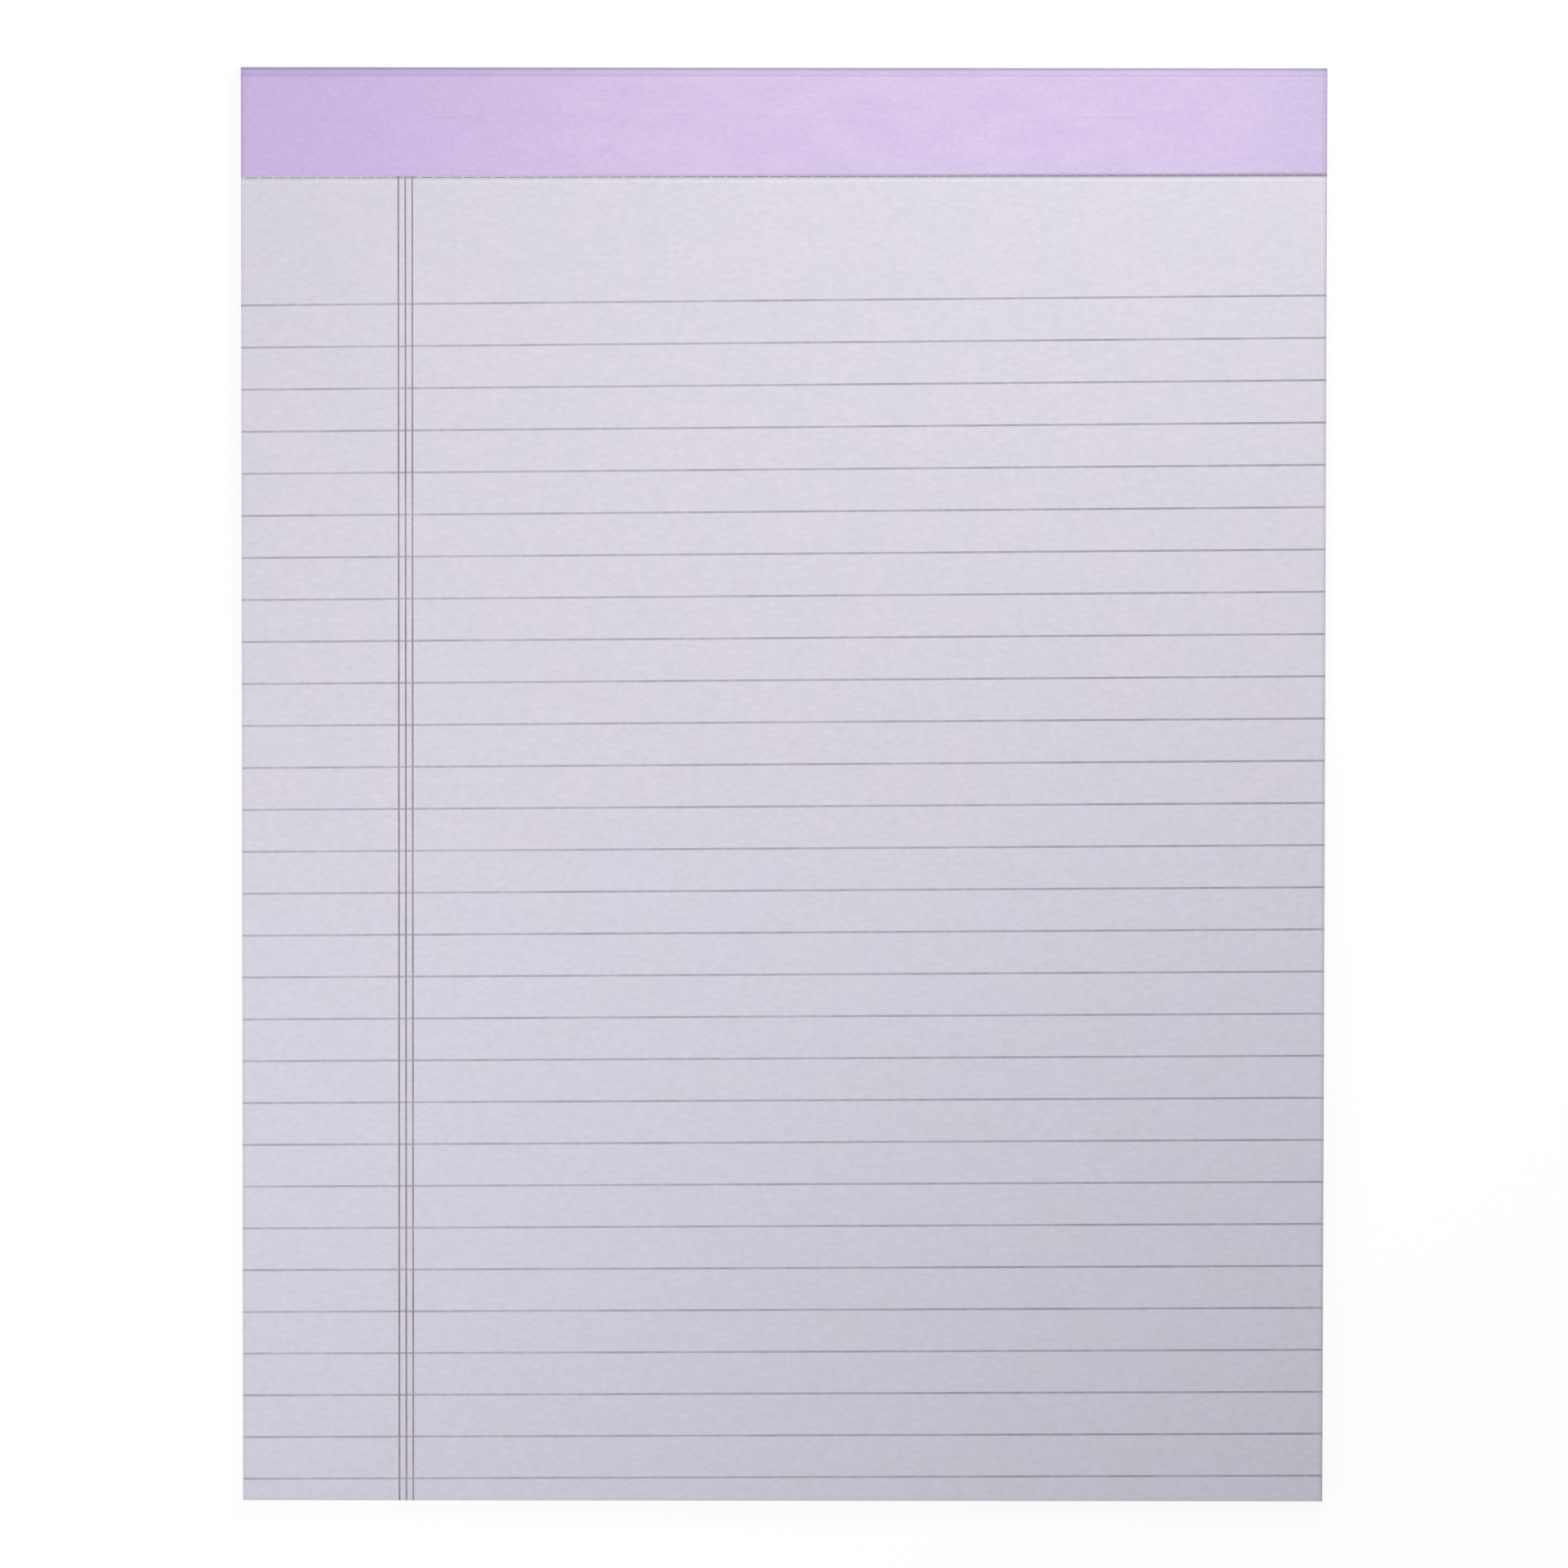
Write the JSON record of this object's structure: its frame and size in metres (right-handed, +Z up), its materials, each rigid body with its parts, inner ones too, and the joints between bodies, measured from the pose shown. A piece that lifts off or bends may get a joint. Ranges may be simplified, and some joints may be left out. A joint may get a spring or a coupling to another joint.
{
  "type": "legal pad",
  "caption": "Top-bound ruled writing pad with margin lines, a folded binding strip over the head and a chipboard back, lying flat.",
  "frame": {"origin": "middle of the footprint, on the surface that the pad lies on", "axes": "+X to the reader's right, +Y from the foot to the bound head, +Z up through the sheets, with the ruled side up"},
  "size_m": [0.216, 0.2984, 0.0061],
  "materials": {
    "writing_paper": "matte, uncoated",
    "chipboard": "matte, recycled fibre",
    "binding_paper": "matte, slightly calendered",
    "staple_wire": "bright drawn wire",
    "rule_ink": "matte printing ink",
    "margin_ink": "matte printing ink"
  },
  "bodies": {
    "root": {"sheet_stack": "writing_paper", "backing_board": "chipboard", "binding_strip": "binding_paper", "staples": "staple_wire", "rule_lines": "rule_ink", "margin_lines": "margin_ink"}
  },
  "joints": []
}
